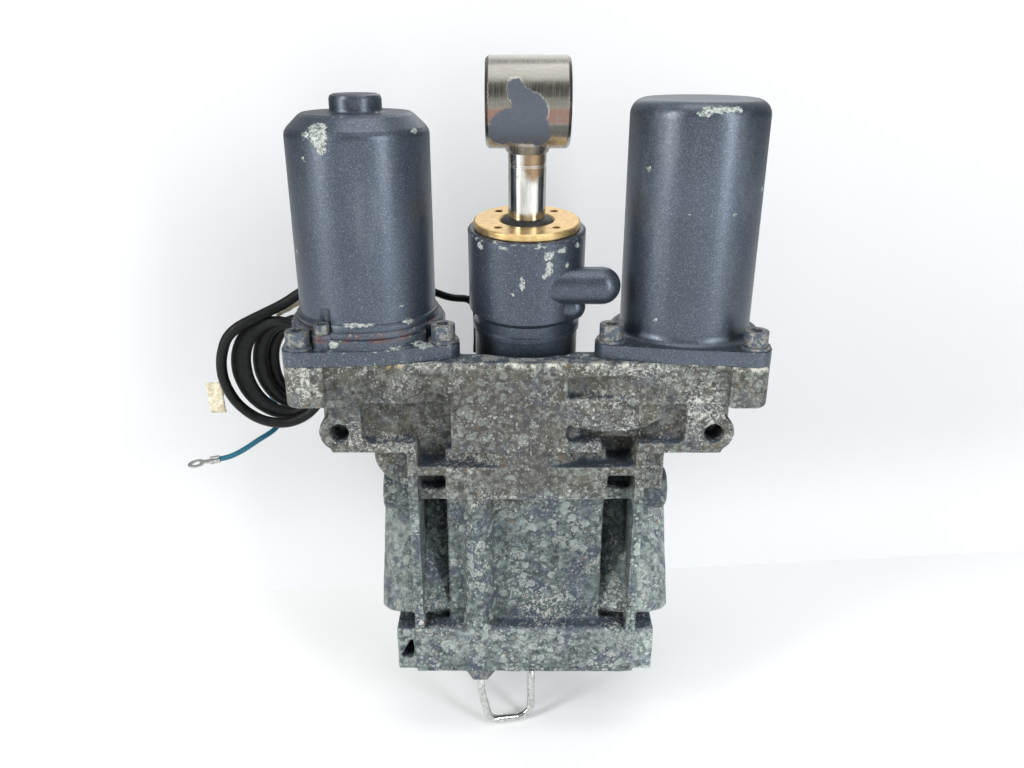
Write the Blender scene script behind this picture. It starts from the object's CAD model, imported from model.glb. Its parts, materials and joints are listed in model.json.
import json
import math

import bmesh
import bpy
import numpy as np
from mathutils import Matrix, Vector, noise


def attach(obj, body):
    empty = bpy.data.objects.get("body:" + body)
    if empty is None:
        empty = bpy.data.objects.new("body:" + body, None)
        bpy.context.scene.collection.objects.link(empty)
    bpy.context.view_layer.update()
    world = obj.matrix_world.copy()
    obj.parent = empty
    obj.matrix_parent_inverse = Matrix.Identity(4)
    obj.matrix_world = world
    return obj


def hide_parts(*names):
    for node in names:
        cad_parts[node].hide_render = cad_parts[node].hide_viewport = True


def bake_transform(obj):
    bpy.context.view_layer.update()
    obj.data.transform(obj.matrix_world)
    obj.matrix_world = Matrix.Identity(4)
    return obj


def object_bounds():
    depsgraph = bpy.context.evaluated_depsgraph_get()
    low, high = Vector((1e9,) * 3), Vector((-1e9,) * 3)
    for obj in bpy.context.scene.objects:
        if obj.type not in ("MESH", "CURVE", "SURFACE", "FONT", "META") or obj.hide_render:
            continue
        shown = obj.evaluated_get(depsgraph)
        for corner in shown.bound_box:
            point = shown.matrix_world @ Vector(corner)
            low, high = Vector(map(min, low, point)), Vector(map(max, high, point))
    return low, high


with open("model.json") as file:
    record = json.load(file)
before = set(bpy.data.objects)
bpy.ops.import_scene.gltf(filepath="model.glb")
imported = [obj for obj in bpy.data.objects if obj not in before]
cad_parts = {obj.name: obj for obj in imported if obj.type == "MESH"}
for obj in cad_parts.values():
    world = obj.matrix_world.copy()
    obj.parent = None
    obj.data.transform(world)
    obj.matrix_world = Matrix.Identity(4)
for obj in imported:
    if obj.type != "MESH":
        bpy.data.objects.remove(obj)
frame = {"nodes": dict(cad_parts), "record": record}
nodes = frame["nodes"]
cad_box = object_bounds()
scene = bpy.context.scene


# ------------------------------------------------------------------ node helper
class Net:
    """One procedural material. Lengths are in millimetres of the rest frame."""

    def __init__(self, name):
        self.m = bpy.data.materials.new(name)
        self.m.use_nodes = True
        self.t = self.m.node_tree
        self.t.nodes.clear()
        self.out = self.t.nodes.new("ShaderNodeOutputMaterial")
        self.tc = self.t.nodes.new("ShaderNodeTexCoord")
        self.geo = self.t.nodes.new("ShaderNodeNewGeometry")
        sc = self.t.nodes.new("ShaderNodeVectorMath")
        sc.operation = "SCALE"
        self.t.links.new(self.tc.outputs["Object"], sc.inputs[0])
        sc.inputs["Scale"].default_value = 1000.0
        self.p = sc.outputs[0]
        sep = self.t.nodes.new("ShaderNodeSeparateXYZ")
        self.t.links.new(self.p, sep.inputs[0])
        self.x, self.y, self.z = sep.outputs
        nsep = self.t.nodes.new("ShaderNodeSeparateXYZ")
        self.t.links.new(self.tc.outputs["Normal"], nsep.inputs[0])
        self.nx, self.ny, self.nz = nsep.outputs

    def put(self, socket, value):
        if isinstance(value, bpy.types.NodeSocket):
            self.t.links.new(value, socket)
        elif isinstance(value, (tuple, list)):
            v = tuple(value)
            if socket.type == "RGBA" and len(v) == 3:
                v = v + (1.0,)
            socket.default_value = v
        else:
            socket.default_value = value

    def math(self, op, a, b=None, c=None, clamp=False):
        n = self.t.nodes.new("ShaderNodeMath")
        n.operation = op
        n.use_clamp = clamp
        self.put(n.inputs[0], a)
        if b is not None:
            self.put(n.inputs[1], b)
        if c is not None:
            self.put(n.inputs[2], c)
        return n.outputs[0]

    def add(self, a, b):
        return self.math("ADD", a, b)

    def sub(self, a, b):
        return self.math("SUBTRACT", a, b)

    def mul(self, a, b, clamp=False):
        return self.math("MULTIPLY", a, b, clamp=clamp)

    def inv(self, a):
        return self.math("SUBTRACT", 1.0, a, clamp=True)

    def step(self, v, lo, hi, a=0.0, b=1.0):
        n = self.t.nodes.new("ShaderNodeMapRange")
        n.interpolation_type = "SMOOTHSTEP"
        self.put(n.inputs["Value"], v)
        self.put(n.inputs["From Min"], lo)
        self.put(n.inputs["From Max"], hi)
        self.put(n.inputs["To Min"], a)
        self.put(n.inputs["To Max"], b)
        return n.outputs[0]

    def vadd(self, a, b):
        n = self.t.nodes.new("ShaderNodeVectorMath")
        n.operation = "ADD"
        self.put(n.inputs[0], a)
        self.put(n.inputs[1], b)
        return n.outputs[0]

    def vmul(self, a, b):
        n = self.t.nodes.new("ShaderNodeVectorMath")
        n.operation = "MULTIPLY"
        self.put(n.inputs[0], a)
        self.put(n.inputs[1], b)
        return n.outputs[0]

    def noise(self, scale, detail=4.0, rough=0.55, shift=(0, 0, 0), stretch=None, vector=None, distort=0.0, colour=False):
        n = self.t.nodes.new("ShaderNodeTexNoise")
        v = vector or self.p
        if stretch:
            v = self.vmul(v, stretch)
        if shift != (0, 0, 0):
            v = self.vadd(v, shift)
        self.put(n.inputs["Vector"], v)
        n.inputs["Scale"].default_value = scale
        n.inputs["Detail"].default_value = detail
        n.inputs["Roughness"].default_value = rough
        n.inputs["Distortion"].default_value = distort
        return n.outputs[1] if colour else n.outputs[0]

    def wobble(self, scale, amount, shift=(0, 0, 0)):
        """The position pushed about by noise, for ragged outlines."""
        c = self.noise(scale, 3.0, 0.6, shift, colour=True)
        centred = self.vadd(c, (-0.5, -0.5, -0.5))
        return self.vadd(self.p, self.vmul(centred, (2 * amount,) * 3))

    def voronoi(self, scale, vector=None, feature="F1", randomness=1.0):
        n = self.t.nodes.new("ShaderNodeTexVoronoi")
        n.feature = feature
        self.put(n.inputs["Vector"], vector or self.p)
        n.inputs["Scale"].default_value = scale
        n.inputs["Randomness"].default_value = randomness
        return n

    def mix(self, f, a, b):
        n = self.t.nodes.new("ShaderNodeMix")
        n.data_type = "RGBA"
        self.put(n.inputs[0], f)
        self.put(n.inputs[6], a)
        self.put(n.inputs[7], b)
        return n.outputs[2]

    def mixf(self, f, a, b):
        n = self.t.nodes.new("ShaderNodeMix")
        n.data_type = "FLOAT"
        self.put(n.inputs[0], f)
        self.put(n.inputs[2], a)
        self.put(n.inputs[3], b)
        return n.outputs[0]

    def shade(self, colour, f):
        """Colour multiplied by a grey value."""
        n = self.t.nodes.new("ShaderNodeVectorMath")
        n.operation = "SCALE"
        self.put(n.inputs[0], colour)
        self.put(n.inputs["Scale"], f)
        return n.outputs[0]

    def spot(self, centre, size, vector=None, soft=0.25):
        """1 inside an ellipsoid round centre, 0 outside."""
        v = self.vadd(vector or self.p, tuple(-c for c in centre))
        v = self.vmul(v, tuple(1.0 / s for s in size))
        n = self.t.nodes.new("ShaderNodeVectorMath")
        n.operation = "LENGTH"
        self.put(n.inputs[0], v)
        return self.step(n.outputs["Value"], 1.0 + soft, 1.0 - soft)

    def most(self, *values):
        out = values[0]
        for v in values[1:]:
            out = self.math("MAXIMUM", out, v)
        return out

    def bevel(self, radius_mm, samples=4):
        n = self.t.nodes.new("ShaderNodeBevel")
        n.samples = samples
        n.inputs["Radius"].default_value = radius_mm / 1000.0
        return n.outputs[0]

    def bump(self, height, distance_mm, strength=1.0, normal=None):
        n = self.t.nodes.new("ShaderNodeBump")
        n.inputs["Strength"].default_value = strength
        n.inputs["Distance"].default_value = distance_mm / 1000.0
        self.put(n.inputs["Height"], height)
        if normal is not None:
            self.put(n.inputs["Normal"], normal)
        return n.outputs[0]

    def done(self, **sockets):
        b = self.t.nodes.new("ShaderNodeBsdfPrincipled")
        for word, value in sockets.items():
            self.put(b.inputs[word.replace("_", " ")], value)
        self.t.links.new(b.outputs[0], self.out.inputs["Surface"])
        return self.m


# ------------------------------------------------------------------ materials
def cast_alloy():
    """Corroded die-cast aluminium: grey above, blue-green with pale blotches below."""
    m = Net("cast_alloy")
    big = m.noise(0.022, 3.0, 0.5)
    mid = m.noise(0.20, 8.0, 0.70)
    patch = m.noise(0.06, 4.0, 0.6, (40, 0, 7))
    fine = m.noise(0.62, 4.0, 0.70, (11, 3, 0))
    grain = m.noise(2.6, 2.0, 0.6, (0, 9, 5))
    mottle = m.noise(0.36, 6.0, 0.72, (21, 13, 4))
    up = m.step(m.add(m.z, m.mul(m.sub(big, 0.5), 60.0)), -58.0, -26.0)
    high = m.mix(m.step(mid, 0.42, 0.60), (0.050, 0.051, 0.045), (0.170, 0.174, 0.162))
    low = m.mix(m.step(mid, 0.40, 0.60), (0.052, 0.072, 0.076), (0.150, 0.186, 0.184))
    colour = m.mix(up, low, high)
    busy = m.step(m.noise(0.035, 3.0, 0.6, (8, 30, 12)), 0.42, 0.60, 0.45, 1.0)
    colour = m.shade(colour, m.mixf(busy, 1.0, m.step(mottle, 0.38, 0.62, 0.48, 1.70)))
    # olive and brown soil over the upper body, a darker run down its middle
    olive = m.mul(m.step(patch, 0.46, 0.66), 0.50)
    colour = m.mix(m.mul(olive, up), colour, (0.100, 0.092, 0.062))
    ragged = m.wobble(0.12, 9.0, (4, 4, 1))
    run = m.most(m.spot((-12.0, 0.0, 12.0), (26.0, 30.0, 22.0), ragged, 0.5), m.spot((2.0, 0.0, -22.0), (14.0, 30.0, 16.0), ragged, 0.5))
    colour = m.mix(m.mul(run, m.step(mottle, 0.42, 0.60, 0.75, 0.30)), colour, (0.058, 0.052, 0.050))
    # blue-violet remains of paint
    worn = m.wobble(0.35, 2.2, (5, 5, 5))
    left = m.noise(0.07, 3.0, 0.55, (90, 20, 3), vector=worn)
    remains = m.mul(m.step(left, 0.535, 0.58), m.mixf(up, 0.80, 0.35))
    colour = m.mix(m.mul(remains, m.step(mottle, 0.62, 0.50)), colour, (0.060, 0.074, 0.112))
    # pale weathered outer flanks and base band
    flank = m.mul(m.step(m.math("ABSOLUTE", m.x), 62.0, 69.0), m.step(m.z, -58.0, -76.0))
    base = m.mul(m.step(m.z, -128.0, -133.0), m.step(m.z, -160.0, -143.0))
    pale = m.mul(m.most(flank, m.mul(base, 0.9)), m.step(m.noise(0.13, 6.0, 0.68, (2, 50, 5)), 0.42, 0.60))
    colour = m.mix(m.mul(pale, m.step(mottle, 0.40, 0.62, 0.25, 0.85)), colour, (0.34, 0.385, 0.365))
    # round pale blotches
    b1 = m.voronoi(0.17, m.wobble(0.5, 0.9))
    b2 = m.voronoi(0.36, m.wobble(0.8, 0.5, (3, 1, 8)))
    pick1 = m.t.nodes.new("ShaderNodeSeparateColor")
    m.put(pick1.inputs[0], b1.outputs["Color"])
    pick2 = m.t.nodes.new("ShaderNodeSeparateColor")
    m.put(pick2.inputs[0], b2.outputs["Color"])
    disc1 = m.mul(m.step(b1.outputs["Distance"], 0.42, 0.38), m.step(pick1.outputs[0], 0.50, 0.52))
    disc2 = m.mul(m.step(b2.outputs["Distance"], 0.38, 0.34), m.step(pick2.outputs[1], 0.60, 0.62))
    where = m.mul(m.step(m.noise(0.04, 3.0, 0.6, (3, 60, 1)), 0.36, 0.52), m.inv(m.mul(up, 0.6)))
    blotch = m.mul(m.most(m.mul(disc1, 0.72), m.mul(disc2, 0.90)), where)
    colour = m.mix(m.mul(blotch, m.step(mottle, 0.35, 0.6, 0.6, 1.0)), colour, (0.34, 0.40, 0.375))
    rim = m.mul(m.mul(m.step(b1.outputs["Distance"], 0.30, 0.36), m.step(b1.outputs["Distance"], 0.44, 0.38)), m.step(pick1.outputs[0], 0.40, 0.56))
    colour = m.mix(m.mul(m.mul(rim, where), 0.5), colour, (0.42, 0.46, 0.43))
    # paint left on faces that look up
    top = m.mul(m.step(m.nz, 0.45, 0.8), m.step(m.z, 60.0, 42.0))
    chips = m.step(m.noise(0.55, 5.0, 0.7, (1, 2, 3)), 0.52, 0.57)
    colour = m.mix(m.mul(top, m.inv(m.mul(chips, 0.7))), colour, (0.058, 0.078, 0.112))
    # white oxide specks, thicker in patches
    thick = m.mul(m.step(m.noise(0.05, 4.0, 0.6, (20, 8, 60)), 0.42, 0.66), 0.8)
    for centre, size in (((56, 0, 37), (26, 12, 6)), ((38, 0, 21), (22, 14, 4.5)), ((96, 0, 14), (15, 20, 22)), ((-116, 0, 30), (13, 20, 13)),
                         ((-64, 4, 29), (12, 16, 8)), ((-70, 0, -8), (22, 14, 5)), ((-30, 2, -18), (20, 20, 5)), ((44, 0, -2), (20, 14, 10)),
                         ((0, 0, -42), (42, 20, 4)), ((-60, 4, -122), (12, 30, 14)), ((12, 6, -120), (18, 12, 16)), ((55, 6, -120), (12, 30, 18))):
        thick = m.most(thick, m.spot(centre, size, ragged, 0.6))
    speck = m.mul(m.step(fine, m.mixf(thick, 0.625, 0.530), m.mixf(thick, 0.655, 0.565)), 0.85)
    colour = m.mix(speck, colour, (0.50, 0.51, 0.475))
    crust = m.mul(m.step(m.noise(0.24, 8.0, 0.74, (7, 70, 7)), m.mixf(thick, 0.645, 0.545), m.mixf(thick, 0.670, 0.575)), m.mixf(thick, 0.5, 0.9))
    colour = m.mix(crust, colour, (0.60, 0.605, 0.56))
    dark = m.step(m.noise(0.48, 6.0, 0.74, (55, 5, 5)), 0.560, 0.615)
    colour = m.mix(m.mul(dark, m.mul(busy, 0.72)), colour, (0.020, 0.023, 0.024))
    # salt line along the joint with the flanges
    saltn = m.noise(0.16, 7.0, 0.72, (0, 0, 31))
    line = m.mul(m.step(m.z, 36.5, 40.3), m.step(saltn, 0.505, 0.55))
    tint = m.mix(m.mul(m.step(m.x, -64.0, -70.0), m.step(m.x, -86.0, -80.0)), (0.60, 0.60, 0.53), (0.55, 0.43, 0.17))
    colour = m.mix(m.mul(line, m.step(m.ny, 0.2, -0.2)), colour, tint)
    # convex edges rubbed bright, crevices dark
    edge = m.step(m.geo.outputs["Pointiness"], 0.515, 0.56)
    colour = m.mix(m.mul(edge, m.mul(m.step(mottle, 0.40, 0.60), 0.65)), colour, (0.33, 0.345, 0.325))
    hollow = m.step(m.geo.outputs["Pointiness"], 0.49, 0.44)
    colour = m.mix(m.mul(hollow, 0.62), colour, (0.030, 0.036, 0.042))
    ao = m.t.nodes.new("ShaderNodeAmbientOcclusion")
    ao.samples = 2
    ao.inputs["Distance"].default_value = 0.022
    dirt = m.step(ao.outputs["AO"], 0.10, 0.75, 0.66, 1.0)
    colour = m.shade(colour, dirt)
    rust = m.mul(m.step(m.noise(0.13, 6.0, 0.66, (77, 7, 17)), 0.625, 0.67), 0.65)
    colour = m.mix(rust, colour, (0.15, 0.095, 0.040))
    # broad tone: dim upper left and lower middle, pale right flank
    dim = m.most(m.mul(m.spot((-70.0, 0.0, 20.0), (36.0, 22.0, 15.0), ragged, 0.35), 0.36), m.mul(m.spot((18.0, 3.0, -84.0), (34.0, 14.0, 27.0), ragged, 0.35), 0.20))
    colour = m.shade(colour, m.inv(dim))
    right = m.mul(m.step(m.x, 60.0, 68.0), m.step(m.z, -56.0, -72.0))
    colour = m.shade(colour, m.add(1.0, m.mul(right, 0.42)))
    height = m.add(m.add(m.mul(mid, 0.9), m.mul(fine, 0.5)), m.add(m.mul(speck, 0.3), m.mul(m.add(crust, blotch), 0.35)))
    height = m.add(height, m.add(m.mul(grain, 0.14), m.mul(mottle, 0.6)))
    return m.done(Base_Color=colour, Metallic=m.mixf(m.most(speck, crust, blotch), 0.35, 0.05),
                  Roughness=m.mixf(m.most(speck, crust), m.step(mid, 0.3, 0.7, 0.46, 0.62), 0.82),
                  Normal=m.bump(height, 0.70, 1.0))


def flake_paint(name, chips=(), base=(0.066, 0.083, 0.111), wear=0.5, rust_z=None, edge_z=()):
    """Dark blue-grey metallic enamel with flake sparkle, orange peel, scuffs and chips."""
    m = Net(name)
    cells = m.voronoi(2.4)
    flake = m.t.nodes.new("ShaderNodeSeparateColor")
    m.put(flake.inputs[0], cells.outputs["Color"])
    cloud = m.noise(0.02, 3.0, 0.5)
    colour = m.mix(m.step(flake.outputs[0], 0.0, 1.0), tuple(c * 0.78 for c in base), tuple(c * 1.27 for c in base))
    colour = m.shade(colour, m.step(cloud, 0.3, 0.7, 0.88, 1.12))
    glint = m.step(flake.outputs[1], 0.90, 0.96)
    colour = m.mix(m.mul(glint, 0.34), colour, (0.28, 0.32, 0.37))
    haze = m.mul(m.step(m.noise(0.05, 5.0, 0.65, (3, 30, 3), stretch=(1, 1, 0.4)), 0.54, 0.74), 0.16)
    colour = m.mix(haze, colour, (0.30, 0.33, 0.35))
    # small nicks, more of them at convex edges
    edge = m.step(m.geo.outputs["Pointiness"], 0.52, 0.60)
    nick_noise = m.noise(0.75, 6.0, 0.72, (13, 2, 40))
    nick = m.step(nick_noise, 0.790 - 0.03 * wear, 0.805 - 0.03 * wear)
    nick = m.most(nick, m.mul(edge, m.step(nick_noise, 0.64 - 0.05 * wear, 0.67 - 0.05 * wear)))
    ragged = m.wobble(0.45, 2.4)
    big = nick
    for centre, size in chips:
        big = m.most(big, m.spot(centre, size, ragged, 0.06))
    for z0, z1, lo in edge_z:
        band = m.mul(m.step(m.z, z0 - 0.6, z0), m.step(m.z, z1 + 0.6, z1))
        big = m.most(big, m.mul(band, m.step(m.noise(0.35, 6.0, 0.7, (z0, 5, 1)), lo, lo + 0.03)))
    inner = m.mix(m.step(m.noise(0.6, 4.0, 0.65, (9, 9, 1)), 0.40, 0.58), (0.17, 0.21, 0.195), (0.46, 0.49, 0.46))
    inner = m.mix(m.step(m.noise(0.7, 4.0, 0.65, (1, 19, 1)), 0.57, 0.64), inner, (0.055, 0.065, 0.060))
    colour = m.mix(big, colour, inner)
    if rust_z is not None:
        z0, z1 = rust_z
        ring = m.mul(m.step(m.z, z0 - 0.8, z0), m.step(m.z, z1 + 0.8, z1))
        ring = m.mul(ring, m.step(m.noise(0.14, 5.0, 0.7, (31, 1, 1)), 0.50, 0.60))
        colour = m.mix(m.mul(ring, 0.45), colour, (0.17, 0.055, 0.030))
    peel = m.noise(0.55, 2.0, 0.5, (4, 4, 4))
    rough_spots = m.noise(3.2, 2.0, 0.6)
    normal = m.bevel(0.7)
    height = m.add(m.add(m.mul(peel, 0.10), m.mul(rough_spots, 0.05)), m.mul(m.inv(big), 0.22))
    height = m.add(height, m.mul(flake.outputs[2], 0.006))
    return m.done(Base_Color=colour, Metallic=m.mixf(big, 0.72, 0.15),
                  Roughness=m.mixf(big, m.add(m.step(cloud, 0.3, 0.7, 0.38, 0.44), m.mul(haze, 0.6)), 0.62),
                  Coat_Weight=m.mixf(big, 0.26, 0.0), Coat_Roughness=0.24,
                  Normal=m.bump(height, 0.45, 0.8, normal))


def fastener(name, paint=0.50, metal=(0.29, 0.29, 0.27)):
    """Plated steel with half of its paint gone."""
    m = Net(name)
    n = m.noise(0.28, 6.0, 0.65, (7, 0, 2))
    mask = m.step(n, paint - 0.02, paint + 0.02)
    scuff = m.noise(1.3, 5.0, 0.7, (1, 1, 61))
    bare = m.mix(m.step(scuff, 0.35, 0.65), tuple(c * 0.45 for c in metal), tuple(min(1, c * 1.25) for c in metal))
    bare = m.mix(m.mul(m.step(m.noise(0.5, 4.0, 0.6, (6, 6, 6)), 0.60, 0.70), 0.6), bare, (0.44, 0.45, 0.42))
    painted = m.mix(m.step(m.noise(2.4, 2.0, 0.6), 0.3, 0.7), (0.048, 0.062, 0.086), (0.098, 0.120, 0.152))
    colour = m.mix(mask, bare, painted)
    height = m.add(m.mul(scuff, 0.3), m.mul(mask, 0.4))
    return m.done(Base_Color=colour, Metallic=m.mixf(mask, 0.75, 0.3), Roughness=m.mixf(mask, m.step(scuff, 0.3, 0.7, 0.32, 0.55), 0.42),
                  Normal=m.bump(height, 0.25, 0.8, m.bevel(0.45)))


def chrome(name, stain=True, turn_z=True):
    m = Net(name)
    streak = m.noise(0.5, 5.0, 0.6, stretch=(1.0, 1.0, 0.04) if turn_z else (0.05, 1.0, 1.0))
    colour = m.mix(m.step(streak, 0.35, 0.65), (0.42, 0.41, 0.385), (0.66, 0.65, 0.62))
    rough = m.step(streak, 0.3, 0.7, 0.10, 0.20)
    if stain:
        s = m.mul(m.step(m.noise(0.22, 6.0, 0.65, (3, 14, 2)), 0.50, 0.60), m.step(m.z, 124.0, 146.0))
        drip = m.mul(m.spot((3.5, 25.0, 141.0), (5.5, 14.0, 10.0), m.wobble(0.4, 1.5), 0.3), 0.9)
        s = m.most(m.mul(s, 0.6), drip)
        colour = m.mix(s, colour, (0.24, 0.15, 0.07))
        rough = m.mixf(s, rough, 0.5)
        ring = m.mul(m.step(m.z, 137.6, 138.1), m.step(m.z, 139.6, 139.1))
        colour = m.mix(m.mul(ring, 0.35), colour, (0.80, 0.80, 0.78))
    scratch = m.noise(1.4, 3.0, 0.6, (0, 5, 0), stretch=(1, 1, 0.08))
    return m.done(Base_Color=colour, Metallic=1.0, Roughness=rough, Normal=m.bump(scratch, 0.03, 0.5))


def eye_steel():
    """Turned steel, brown-stained bands and one large patch of old paint on the front."""
    m = Net("eye_steel")
    turn = m.noise(1.3, 5.0, 0.65, stretch=(1.8, 0.05, 0.05))
    across = m.noise(0.8, 5.0, 0.7, (4, 0, 4), stretch=(0.12, 1.0, 1.0))
    colour = m.mix(m.step(turn, 0.3, 0.7), (0.190, 0.183, 0.158), (0.250, 0.240, 0.210))
    colour = m.mix(m.mul(m.step(across, 0.5, 0.7), 0.30), colour, (0.42, 0.42, 0.40))
    crown = m.step(m.nz, 0.70, 0.92)
    colour = m.mix(m.mul(crown, 0.55), colour, (0.48, 0.465, 0.425))
    front = m.step(m.y, 31.0, 22.0)
    band = m.mul(m.mul(m.step(m.z, 160.5, 163.0), m.step(m.z, 170.0, 167.0)), front)
    colour = m.mix(m.mul(band, m.step(across, 0.36, 0.56, 0.35, 0.75)), colour, (0.26, 0.125, 0.095))
    shade = m.mul(m.mul(m.step(m.z, 155.0, 157.0), m.step(m.z, 161.5, 160.0)), front)
    colour = m.mix(m.mul(shade, 0.65), colour, (0.07, 0.07, 0.065))
    pale = m.mul(m.mul(m.step(m.z, 148.8, 150.0), m.step(m.z, 155.5, 154.0)), front)
    colour = m.mix(m.mul(pale, 0.45), colour, (0.62, 0.62, 0.58))
    soil = m.step(m.noise(0.35, 6.0, 0.68, (2, 8, 3)), 0.55, 0.66)
    colour = m.mix(m.mul(soil, m.step(m.z, 154.0, 147.5)), colour, (0.22, 0.15, 0.055))
    ragged = m.wobble(0.42, 1.5, (2, 2, 9))
    patch = m.most(m.spot((-4.5, 12.0, 160.0), (14.6, 19.0, 9.6), ragged, 0.04),
                   m.spot((0.8, 12.0, 167.5), (8.6, 18.0, 8.6), ragged, 0.04),
                   m.spot((-6.2, 12.0, 177.0), (4.2, 16.0, 5.6), ragged, 0.04),
                   m.spot((-2.6, 12.0, 172.5), (6.0, 16.0, 6.0), ragged, 0.04),
                   m.spot((5.6, 12.0, 155.5), (5.4, 19.0, 6.4), ragged, 0.04),
                   m.spot((-13.6, 12.0, 157.0), (6.2, 19.0, 6.8), ragged, 0.04))
    patch = m.mul(patch, m.step(m.y, 34.0, 30.0))
    grit = m.noise(2.6, 2.0, 0.6)
    paint = m.mix(m.step(grit, 0.3, 0.7), (0.048, 0.058, 0.076), (0.090, 0.104, 0.128))
    colour = m.mix(patch, colour, paint)
    halo = m.mul(m.most(m.spot((0.8, 12.0, 167.5), (9.4, 18.5, 9.4), ragged, 0.04), m.spot((-6.2, 12.0, 177.0), (4.9, 16.5, 6.3), ragged, 0.04)), m.inv(patch))
    colour = m.mix(m.mul(halo, 0.25), colour, (0.60, 0.60, 0.56))
    height = m.add(m.mul(patch, 0.6), m.add(m.mul(turn, 0.03), m.mul(m.mul(grit, patch), 0.12)))
    return m.done(Base_Color=colour, Metallic=m.mixf(patch, 0.92, 0.15), Roughness=m.mixf(patch, m.step(turn, 0.3, 0.7, 0.20, 0.36), 0.52),
                  Normal=m.bump(height, 0.30, 0.8, m.bevel(0.5)))


def gold():
    m = Net("gold_anodised")
    n = m.noise(0.35, 5.0, 0.65)
    colour = m.mix(m.step(n, 0.35, 0.65), (0.60, 0.395, 0.155), (0.80, 0.575, 0.27))
    wear = m.step(m.noise(0.7, 5.0, 0.7, (3, 3, 8)), 0.62, 0.70)
    colour = m.mix(m.mul(wear, 0.55), colour, (0.20, 0.155, 0.075))
    side = m.step(m.nz, 0.7, 0.3)
    colour = m.mix(m.mul(side, 0.25), colour, (0.33, 0.27, 0.16))
    turn = m.noise(1.8, 3.0, 0.6, (1, 1, 1))
    return m.done(Base_Color=colour, Metallic=0.85, Roughness=m.step(n, 0.3, 0.7, 0.30, 0.42), Normal=m.bump(turn, 0.05, 0.6, m.bevel(0.4)))


def simple(name, a, b, metallic, rough, scale=0.6, bump_mm=0.05, stretch=None, bevel=0.3, spec=0.5, dust=0.0):
    """Two-tone noise finish with a little relief, for the smaller and hidden pieces."""
    m = Net(name)
    n = m.noise(scale, 5.0, 0.62, stretch=stretch)
    f = m.noise(scale * 5, 3.0, 0.6, (8, 1, 3))
    colour = m.mix(m.step(n, 0.34, 0.66), a, b)
    if dust:
        d = m.mul(m.step(m.noise(0.12, 6.0, 0.7, (5, 1, 5)), 0.50, 0.70), dust)
        colour = m.mix(d, colour, (0.30, 0.30, 0.28))
    return m.done(Base_Color=colour, Metallic=metallic, Roughness=m.step(f, 0.25, 0.75, rough * 0.82, min(1.0, rough * 1.2)),
                  Specular_IOR_Level=spec, Normal=m.bump(m.add(m.mul(n, 0.7), m.mul(f, 0.3)), bump_mm, 0.7, m.bevel(bevel)))


def sheath():
    """Black PVC sleeve: satin, wrinkled along its length, a little dust."""
    m = Net("black_sheath")
    n = m.noise(0.25, 4.0, 0.55)
    wrinkle = m.noise(0.55, 4.0, 0.6, (2, 2, 2), distort=1.2)
    colour = m.mix(m.step(n, 0.35, 0.65), (0.0035, 0.004, 0.0045), (0.009, 0.010, 0.011))
    dust = m.mul(m.step(m.noise(0.9, 5.0, 0.7, (12, 1, 5)), 0.62, 0.76), 0.10)
    colour = m.mix(dust, colour, (0.10, 0.10, 0.095))
    return m.done(Base_Color=colour, Metallic=0.0, Roughness=m.step(wrinkle, 0.3, 0.7, 0.34, 0.48), Specular_IOR_Level=0.22,
                  Normal=m.bump(m.add(m.mul(wrinkle, 1.0), m.mul(n, 0.5)), 0.50, 0.6))


def wires():
    """Both leave the end of the sleeve side by side: the blue lead left and down, the green one to the right behind the coil."""
    m = Net("wire_colour")
    inside = m.mul(m.step(m.x, -169.9, -169.5), m.step(m.z, -26.0, -24.0))
    n = m.noise(0.6, 4.0, 0.6)
    blue = m.mix(m.step(n, 0.3, 0.7), (0.004, 0.088, 0.150), (0.010, 0.150, 0.225))
    green = m.mix(m.step(n, 0.3, 0.7), (0.040, 0.120, 0.035), (0.090, 0.190, 0.055))
    return m.done(Base_Color=m.mix(inside, blue, green), Metallic=0.0, Roughness=0.38, Normal=m.bump(n, 0.06, 0.6))


def tape():
    m = Net("tape_cream")
    n = m.noise(0.35, 6.0, 0.7, distort=0.6)
    colour = m.mix(m.step(n, 0.36, 0.64), (0.52, 0.44, 0.28), (0.86, 0.82, 0.66))
    dirt = m.mul(m.step(m.noise(0.6, 6.0, 0.72, (5, 5, 3)), 0.56, 0.68), 0.5)
    colour = m.mix(dirt, colour, (0.28, 0.22, 0.13))
    return m.done(Base_Color=colour, Metallic=0.0, Roughness=0.72, Normal=m.bump(n, 0.6, 0.9))


# where paint is chipped to the primer: (centre, half-sizes) in mm
MOTOR_CHIPS = [((-103.8, 4.8, 160.3), (6.6, 6.0, 3.6)), ((-101.5, 4.0, 155.5), (4.4, 5.0, 4.6)), ((-100.2, 3.4, 150.3), (2.6, 4.0, 2.8)),
               ((-108.5, 7.2, 156.5), (2.2, 4.0, 2.0)), ((-110.8, 8.8, 145.0), (1.0, 2.0, 1.0)), ((-78.0, 5.5, 164.6), (5.0, 3.0, 0.9)),
               ((-56.5, 20.0, 158.0), (1.4, 3.0, 1.8)), ((-66.0, 9.0, 70.0), (1.0, 3.0, 0.8)), ((-63.5, 11.0, 61.0), (3.2, 4.0, 1.0)),
               ((-88.0, 1.5, 61.8), (9.0, 3.0, 0.8)), ((-121.0, 20.0, 96.0), (0.9, 2.0, 1.2))]
TANK_CHIPS = [((91.5, 3.8, 168.5), (9.0, 5.0, 1.7)), ((84.0, 3.6, 166.8), (4.0, 4.0, 1.4)), ((99.0, 5.0, 168.8), (4.5, 4.0, 1.2)),
              ((80.7, 4.1, 118.4), (0.8, 2.0, 0.7)), ((120.2, 21.3, 128.0), (1.0, 3.0, 1.4)), ((61.0, 17.0, 139.0), (0.9, 2.0, 1.2)),
              ((103.6, 6.3, 118.0), (0.7, 2.0, 1.0)), ((67.7, 10.1, 61.8), (1.2, 3.0, 0.9))]
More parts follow.
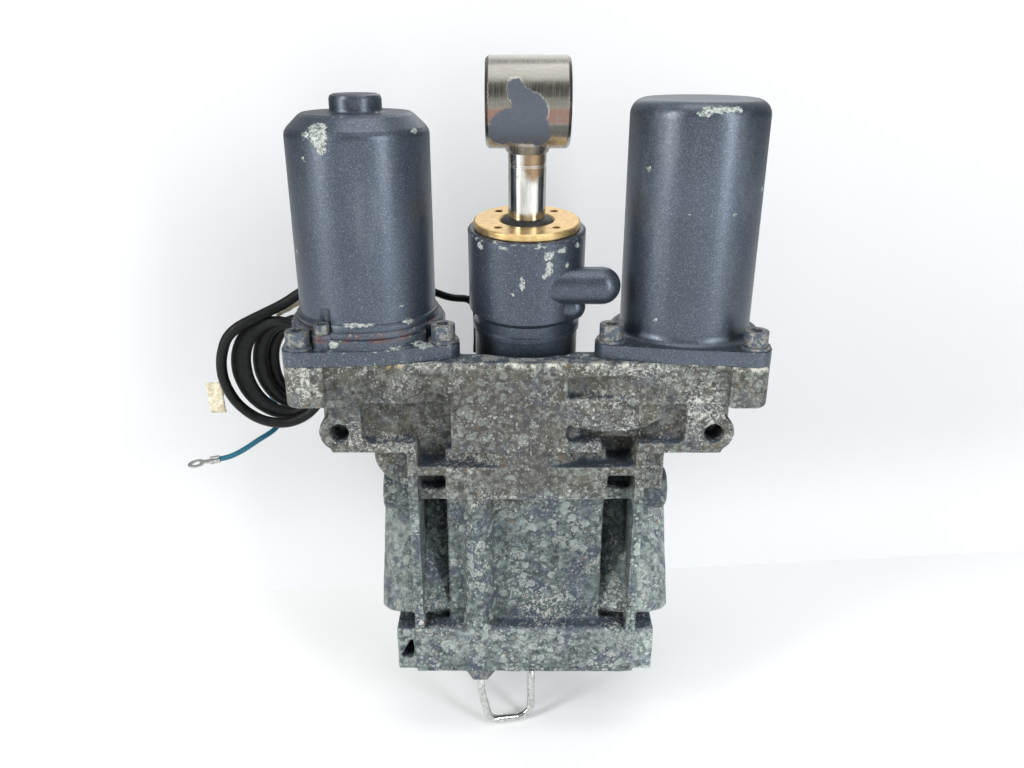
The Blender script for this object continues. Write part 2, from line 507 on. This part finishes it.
TILT_CHIPS = [((10.4, 11.8, 96.6), (3.2, 5.0, 2.6)), ((11.2, 12.0, 89.4), (2.1, 4.0, 4.2)), ((9.0, 11.3, 85.6), (1.5, 3.0, 1.8)),
              ((-2.8, 10.1, 82.0), (1.3, 3.0, 4.0)), ((-7.5, 10.9, 75.3), (1.1, 3.0, 0.9)), ((-11.6, 12.2, 100.2), (3.6, 4.0, 1.1)),
              ((16.9, 14.8, 98.5), (3.2, 4.0, 1.9)), ((25.2, 22.2, 99.6), (2.2, 3.0, 2.2)), ((-23.7, 20.5, 99.5), (2.6, 4.0, 2.2)),
              ((5.5, 10.8, 101.3), (4.6, 4.0, 0.9)), ((20.5, 17.5, 90.0), (0.9, 3.0, 2.0))]

MATS = {
    "motor_can": flake_paint("flake_paint_motor", MOTOR_CHIPS, wear=0.5, rust_z=(54.6, 58.0), edge_z=((164.4, 165.4, 0.61), (56.6, 57.4, 0.58))),
    "reservoir_can": flake_paint("flake_paint_tank", TANK_CHIPS, base=(0.070, 0.087, 0.113), wear=0.3, edge_z=((48.5, 49.2, 0.62),)),
    "motor_flange": flake_paint("flake_paint_flange", (((-101.0, 0.0, 52.0), (3.4, 4.0, 2.2)), ((-55.0, 6.0, 49.5), (6.0, 6.0, 1.2)), ((-70.0, 2.0, 49.3), (4.0, 4.0, 0.8))),
                                base=(0.058, 0.072, 0.096), wear=0.8, rust_z=(53.4, 54.5), edge_z=((48.5, 49.2, 0.575), (54.0, 54.6, 0.58))),
    "tilt_barrel": flake_paint("flake_paint_tilt", TILT_CHIPS, base=(0.060, 0.076, 0.102), wear=0.4, edge_z=((102.2, 103.2, 0.55),)),
    "cast": cast_alloy(),
    "zinc_steel": fastener("zinc_steel", 0.50),
    "zinc_clean": fastener("zinc_steel_clean", 0.66),
    "bright_steel": chrome("bright_steel"),
    "pin_steel": chrome("bright_steel_pin", stain=False, turn_z=False),
    "eye_steel": eye_steel(),
    "gold_anodised": gold(),
    "stainless": simple("stainless", (0.46, 0.46, 0.45), (0.72, 0.72, 0.70), 1.0, 0.16, 0.5, 0.03, bevel=0.1),
    "machined_alloy": simple("machined_alloy", (0.44, 0.45, 0.45), (0.62, 0.63, 0.63), 0.9, 0.34, 0.7, 0.04),
    "steel_part": simple("steel_part", (0.26, 0.26, 0.25), (0.46, 0.46, 0.45), 0.95, 0.32, 0.8, 0.04),
    "bronze": simple("bronze", (0.36, 0.20, 0.075), (0.56, 0.36, 0.15), 0.9, 0.40, 0.7, 0.05),
    "copper_wire": simple("copper_wire", (0.42, 0.13, 0.045), (0.66, 0.28, 0.12), 0.85, 0.34, 1.0, 0.20, stretch=(1, 1, 5)),
    "ferrite": simple("ferrite", (0.035, 0.034, 0.034), (0.075, 0.072, 0.070), 0.1, 0.62, 0.6, 0.08),
    "carbon": simple("carbon", (0.018, 0.018, 0.018), (0.04, 0.04, 0.04), 0.2, 0.5, 1.0, 0.05),
    "seal_rubber": simple("seal_rubber", (0.008, 0.008, 0.009), (0.022, 0.022, 0.022), 0.0, 0.46, 0.6, 0.08, dust=0.2),
    "tie_nylon": simple("tie_nylon", (0.007, 0.007, 0.008), (0.018, 0.018, 0.019), 0.0, 0.42, 0.5, 0.12, bevel=0.5),
    "brush_board": simple("brush_board", (0.16, 0.09, 0.035), (0.26, 0.15, 0.07), 0.0, 0.6, 0.6, 0.08),
    "mesh_plastic": simple("mesh_plastic", (0.40, 0.38, 0.32), (0.62, 0.60, 0.52), 0.0, 0.5, 0.6, 0.06),
    "tinned": simple("tinned", (0.34, 0.34, 0.33), (0.60, 0.60, 0.58), 0.95, 0.28, 0.9, 0.12),
    "black_sheath": sheath(),
    "wire_colour": wires(),
    "tape_cream": tape(),
}

slot_of = {s["node"]: s["material_slot"] for s in frame["record"]["subparts"]}
SPECIAL = {"motor_can": "motor_can", "motor_flange": "motor_flange", "reservoir_can": "reservoir_can", "tilt_barrel": "tilt_barrel",
           "manifold_casting": "cast", "lower_pivot_pin": "pin_steel", "filler_plug": "zinc_steel", "pipe_nut_tilt": "zinc_clean",
           "pin_snap_rings": "zinc_clean", "manual_release_screw": "zinc_clean"}
for word, ob in nodes.items():
    mat = MATS[SPECIAL.get(word, slot_of[word])]
    ob.data.materials.clear()
    ob.data.materials.append(mat)


# ------------------------------------------------------------------ refined pieces
def copy_mesh(word, name):
    ob = bpy.data.objects.new(name, nodes[word].data.copy())
    scene.collection.objects.link(ob)
    bm = bmesh.new()
    bm.from_mesh(ob.data)
    bmesh.ops.remove_doubles(bm, verts=bm.verts, dist=2e-6)
    bm.to_mesh(ob.data)
    bm.free()
    return ob


def baked(ob):
    dg = bpy.context.evaluated_depsgraph_get()
    me = bpy.data.meshes.new_from_object(ob.evaluated_get(dg))
    ob.modifiers.clear()
    old = ob.data
    ob.data = me
    bpy.data.meshes.remove(old)
    return ob


def smooth_faces(ob):
    ob.data.polygons.foreach_set("use_smooth", np.ones(len(ob.data.polygons), dtype=bool))
    ob.data.update()


def finish_piece(ob, body, slot, mat, *stands_for):
    ob.data.materials.clear()
    ob.data.materials.append(mat)
    if body:
        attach(ob, body)
    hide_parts(*stands_for)
    return ob


# the casting: sand-soft edges, cast unevenness and corrosion relief
cast = copy_mesh("manifold_casting", "casting_body")
mod = cast.modifiers.new("skin", "REMESH")
mod.mode = "VOXEL"
mod.voxel_size = 0.00105
mod.adaptivity = 0.0
mod.use_smooth_shade = True
mod = cast.modifiers.new("soften", "SMOOTH")
mod.factor = 0.5
mod.iterations = 6
baked(cast)


def noise_field(co, scale, octaves, shift):
    out = np.empty(len(co), np.float32)
    fr = noise.fractal
    for i, (x, y, z) in enumerate(co.tolist()):
        out[i] = fr(Vector((x * scale + shift, y * scale, z * scale)), 0.9, 2.0, octaves)
    return out


me = cast.data
count = len(me.vertices)
co = np.empty(count * 3, np.float32)
me.vertices.foreach_get("co", co)
co = co.reshape(-1, 3)
nrm = np.empty(count * 3, np.float32)
me.vertices.foreach_get("normal", nrm)
nrm = nrm.reshape(-1, 3)
wave = noise_field(co, 75.0, 2, 3.1)
pits = noise_field(co, 420.0, 2, 11.7)
pits = np.minimum(pits + 0.25, 0.35)
relief = 0.00022 * wave + 0.00016 * pits
# bores stay as machined
tilt_y = 0.063 - 0.0963 * (co[:, 2] + 0.147)
inside = (np.hypot(co[:, 0], co[:, 1] - tilt_y) < 0.0355) & (co[:, 1] > 0.012)
for cx in (-0.0885, 0.089):
    inside |= (np.hypot(co[:, 0] - cx, co[:, 1] - 0.039) < 0.0262) & (co[:, 2] > -0.008)
ca, sa = math.cos(math.radians(30.26)), math.sin(math.radians(30.26))
for cx in (-0.0645, 0.0645):
    dy, dz = co[:, 1] - 0.025, co[:, 2] + 0.130
    along = dz * ca + dy * sa
    off = np.hypot(co[:, 0] - cx, dy * ca - dz * sa)
    inside |= (off < 0.0215) & (along > 0.008)
relief[inside] = 0.0
flat_deck = (co[:, 2] > 0.0395) & (nrm[:, 2] > 0.7)
relief[flat_deck] = np.minimum(relief[flat_deck], 0.0) * 0.3
co += nrm * relief[:, None]
co[:, 2] = np.minimum(co[:, 2], 0.04098)
me.vertices.foreach_set("co", co.ravel())
me.update()
smooth_faces(cast)
finish_piece(cast, "manifold", "cast_alloy", MATS["cast"], "manifold_casting")


def sweep(name, points, radii, sides=16, squeeze=None, closed=False):
    """A round or flattened skin along a line. radii: one per point; squeeze: (plane axis, width factor, depth factor) per point."""
    pts = [Vector(p) for p in points]
    count = len(pts)
    verts, faces = [], []
    up = Vector((0, 1, 0))
    for i, p in enumerate(pts):
        a = pts[max(i - 1, 0)]
        b = pts[min(i + 1, count - 1)]
        t = (b - a).normalized()
        side = t.cross(up)
        if side.length < 1e-3:
            side = t.cross(Vector((1, 0, 0)))
        side.normalize()
        deep = side.cross(t).normalized()
        w, d = (1.0, 1.0) if squeeze is None else squeeze[i]
        for k in range(sides):
            ang = 2 * math.pi * k / sides
            verts.append(p + side * (radii[i] * w * math.cos(ang)) + deep * (radii[i] * d * math.sin(ang)))
    for i in range(count - 1):
        for k in range(sides):
            k2 = (k + 1) % sides
            faces.append((i * sides + k, i * sides + k2, (i + 1) * sides + k2, (i + 1) * sides + k))
    faces.append(tuple(range(sides))[::-1])
    faces.append(tuple((count - 1) * sides + k for k in range(sides)))
    me = bpy.data.meshes.new(name)
    me.from_pydata([tuple(v) for v in verts], [], faces)
    me.update()
    ob = bpy.data.objects.new(name, me)
    scene.collection.objects.link(ob)
    bm = bmesh.new()
    bm.from_mesh(me)
    bmesh.ops.recalc_face_normals(bm, faces=bm.faces)
    bm.to_mesh(me)
    bm.free()
    smooth_faces(ob)
    return ob


def spline(points, per=12):
    """Points of a smooth line through the given ones."""
    p = [Vector(q) for q in points]
    out = []
    for i in range(len(p) - 1):
        p0 = p[max(i - 1, 0)]
        p1, p2 = p[i], p[i + 1]
        p3 = p[min(i + 2, len(p) - 1)]
        for k in range(per):
            t = k / per
            out.append(0.5 * ((2 * p1) + (p2 - p0) * t + (2 * p0 - 5 * p1 + 4 * p2 - p3) * t * t + (3 * p1 - p0 - 3 * p2 + p3) * t ** 3))
    out.append(p[-1])
    return out


# the sleeved lead: the same four loops as the CAD node, one of them pressed flat
lead = [(-110.4, 77.4, 53.3), (-115.5, 85, 54.5), (-125, 90.5, 56), (-138, 92, 54), (-152, 90, 46)]
loop_sizes = [(-159.9, 33.6, 37.0), (-155.3, 27.9, 32.6), (-151.4, 20.8, 28.6), (-147.5, 17.5, 25.2), (-149.5, 21.0, 27.5)]
for i in range(1, 4 * 12 + 1):
    k = (i - 1) / 12.0
    a = math.radians(126 + (i - 1) * 30)
    j = int(k)
    f = k - j
    cx, ra, rb = [loop_sizes[j][q] * (1 - f) + loop_sizes[min(j + 1, 4)][q] * f for q in range(3)]
    lead.append((cx + ra * math.cos(a), 82 + 7.0 * k, 3 + rb * math.sin(a)))
lead += [(-166, 112, 20), (-170, 112, 2)]
line = spline([tuple(c / 1000.0 for c in p) for p in lead], 8)
rad, press = [], []
for i, p in enumerate(line):
    turn = (i / 8.0 - 5) / 12.0
    ang = math.degrees(math.atan2(p.z - 0.003, p.x + 0.155)) % 360
    left_side = max(0.0, math.cos(math.radians(ang - 185)))
    flat = left_side ** 0.7 if 0.75 < turn < 1.55 else (0.55 * left_side ** 0.7 if 1.75 < turn < 2.55 or 2.75 < turn < 3.4 else 0.0)
    rad.append(0.0033 * (1 + 0.03 * noise.noise(p * 90.0)))
    press.append((1.0 + 1.0 * flat, 1.0 - 0.14 * flat))
coil = sweep("lead_sleeve", line, rad, 20, press)
finish_piece(coil, "manifold", "black_sheath", MATS["black_sheath"], "motor_lead_coil")

# crumpled tape
crumpled = copy_mesh("tape_labels", "tape_strips")
bm = bmesh.new()
bm.from_mesh(crumpled.data)
bmesh.ops.dissolve_limit(bm, angle_limit=0.02, verts=bm.verts, edges=bm.edges)
for _ in range(3):
    long_edges = [e for e in bm.edges if e.calc_length() > 0.0024]
    bmesh.ops.subdivide_edges(bm, edges=long_edges, cuts=1, use_grid_fill=True)
bmesh.ops.triangulate(bm, faces=bm.faces)
for v in bm.verts:
    n1 = noise.noise_vector(v.co * 260.0)
    n2 = noise.noise_vector(v.co * 620.0)
    v.co += Vector((n1.x * 0.0005, n1.y * 0.0009, n1.z * 0.0005)) + n2 * 0.0003
bm.to_mesh(crumpled.data)
bm.free()
smooth_faces(crumpled)
finish_piece(crumpled, "manifold", "tape_cream", MATS["tape_cream"], "tape_labels")

# the steel pipe gives a little where its upper end follows the tilt cylinder
pipe = copy_mesh("hydraulic_pipe", "pipe_skin")
smooth_faces(pipe)
pipe.data.materials.clear()
pipe.data.materials.append(MATS["stainless"])
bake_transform(pipe)
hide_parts("hydraulic_pipe")

# ------------------------------------------------------------------ stage
floor_z = cad_box[0].z - 0.0006


def sheet(name, corners, cuts=1):
    me = bpy.data.meshes.new(name)
    me.from_pydata(corners, [], [(0, 1, 2, 3)])
    ob = bpy.data.objects.new(name, me)
    scene.collection.objects.link(ob)
    return ob


floor = sheet("floor", [(-3, -3, floor_z), (3, -3, floor_z), (3, 3, floor_z), (-3, 3, floor_z)])
fm = Net("floor_paper")
fnoise = fm.noise(0.004, 2.0, 0.5)
floor.data.materials.append(fm.done(Base_Color=fm.mix(fnoise, (0.80, 0.815, 0.82), (0.84, 0.85, 0.855)), Roughness=0.7,
                                    Emission_Color=(1, 1, 1, 1), Emission_Strength=0.16))

# pale card behind, seen from the front only, carrying just the soft shade of the object
wall = sheet("card", [(-1.2, 0.175 - 0.105, floor_z), (1.2, 0.175 + 0.105, floor_z), (1.2, 0.175 + 0.105, 1.6), (-1.2, 0.175 - 0.105, 1.6)])
wm = Net("card_paper")
mixer = wm.t.nodes.new("ShaderNodeMixShader")
clear = wm.t.nodes.new("ShaderNodeBsdfTransparent")
dif = wm.t.nodes.new("ShaderNodeBsdfDiffuse")
dif.inputs["Color"].default_value = (0.52, 0.525, 0.53, 1)
glow = wm.t.nodes.new("ShaderNodeEmission")
glow.inputs["Color"].default_value = (0.93, 0.965, 1.0, 1)
rise = wm.add(wm.step(wm.z, -120.0, 420.0, 0.24, 0.35), wm.step(wm.z, -190.0, -70.0, 0.16, 0.0))
wm.put(glow.inputs["Strength"], rise)
both = wm.t.nodes.new("ShaderNodeAddShader")
wm.t.links.new(dif.outputs[0], both.inputs[0])
wm.t.links.new(glow.outputs[0], both.inputs[1])
wm.t.links.new(wm.geo.outputs["Backfacing"], mixer.inputs[0])
wm.t.links.new(both.outputs[0], mixer.inputs[1])
wm.t.links.new(clear.outputs[0], mixer.inputs[2])
wm.t.links.new(mixer.outputs[0], wm.out.inputs["Surface"])
wall.data.materials.append(wm.m)
wall.visible_shadow = False
wall.visible_diffuse = False
wall.visible_glossy = False
wall.visible_transmission = False


def area(name, loc, target, size, power, tint=(1, 1, 1), size_y=None):
    light = bpy.data.lights.new(name, "AREA")
    light.shape = "RECTANGLE"
    light.size = size
    light.size_y = size_y or size
    light.energy = power
    light.color = tint
    ob = bpy.data.objects.new(name, light)
    scene.collection.objects.link(ob)
    ob.location = loc
    ob.rotation_euler = (Vector(target) - Vector(loc)).to_track_quat("-Z", "Y").to_euler()
    return ob


middle = (0, 0.04, 0.0)
area("key_left", (-1.15, -0.72, 0.55), middle, 0.30, 17.5, (1.0, 0.99, 0.97), 1.2)
area("key_right", (0.92, -0.92, 0.45), middle, 0.30, 13.0, (0.97, 0.985, 1.0), 1.2)
area("top", (0.1, -0.1, 1.25), middle, 0.9, 6.0)
area("front_soft", (0.05, -1.35, 0.10), middle, 1.1, 3.2, (0.98, 0.99, 1.0), 0.9).data.specular_factor = 0.0
area("rear", (0.2, 1.1, 0.8), middle, 0.9, 2.5)

world = bpy.data.worlds.new("studio")
scene.world = world
world.use_nodes = True
wt = world.node_tree
wt.nodes.clear()
wout = wt.nodes.new("ShaderNodeOutputWorld")
coord = wt.nodes.new("ShaderNodeTexCoord")
wsep = wt.nodes.new("ShaderNodeSeparateXYZ")
wt.links.new(coord.outputs["Generated"], wsep.inputs[0])


def wmath(op, a, b):
    n = wt.nodes.new("ShaderNodeMath")
    n.operation = op
    for s, v in zip(n.inputs, (a, b)):
        if isinstance(v, bpy.types.NodeSocket):
            wt.links.new(v, s)
        elif v is not None:
            s.default_value = v
    return n.outputs[0]


def wstep(v, lo, hi, a, b):
    n = wt.nodes.new("ShaderNodeMapRange")
    n.interpolation_type = "SMOOTHSTEP"
    wt.links.new(v, n.inputs["Value"])
    for word, q in (("From Min", lo), ("From Max", hi), ("To Min", a), ("To Max", b)):
        n.inputs[word].default_value = q
    return n.outputs[0]


sides_dark = wstep(wmath("ABSOLUTE", wsep.outputs[0], None), 0.45, 0.95, 1.0, 0.16)
front_dark = wstep(wsep.outputs[1], -0.85, -0.10, 0.16, 1.0)
overhead = wstep(wsep.outputs[2], -0.3, 0.7, 0.24, 0.58)
level = wmath("MULTIPLY", wmath("MULTIPLY", sides_dark, front_dark), overhead)
path = wt.nodes.new("ShaderNodeLightPath")
bg_cam = wt.nodes.new("ShaderNodeBackground")
bg_cam.inputs[0].default_value = (0.945, 0.965, 0.985, 1)
bg_cam.inputs[1].default_value = 1.0
bg_lit = wt.nodes.new("ShaderNodeBackground")
bg_lit.inputs[0].default_value = (0.97, 0.985, 1.0, 1)
wt.links.new(level, bg_lit.inputs[1])
wmix = wt.nodes.new("ShaderNodeMixShader")
wt.links.new(path.outputs["Is Camera Ray"], wmix.inputs[0])
wt.links.new(bg_lit.outputs[0], wmix.inputs[1])
wt.links.new(bg_cam.outputs[0], wmix.inputs[2])
wt.links.new(wmix.outputs[0], wout.inputs[0])

cam_data = bpy.data.cameras.new("camera")
cam = bpy.data.objects.new("camera", cam_data)
scene.collection.objects.link(cam)
cam.location = (-0.008, -0.420, 0.199)
cam.rotation_euler = (math.radians(68.0), 0.0, 0.0)
cam_data.sensor_width = 36.0
cam_data.lens = 850.0 / 1024.0 * 36.0
cam_data.clip_start = 0.01
cam_data.clip_end = 20.0
scene.camera = cam

scene.view_settings.view_transform = "Standard"
scene.view_settings.look = "None"
scene.view_settings.exposure = 0.0
scene.view_settings.gamma = 1.0
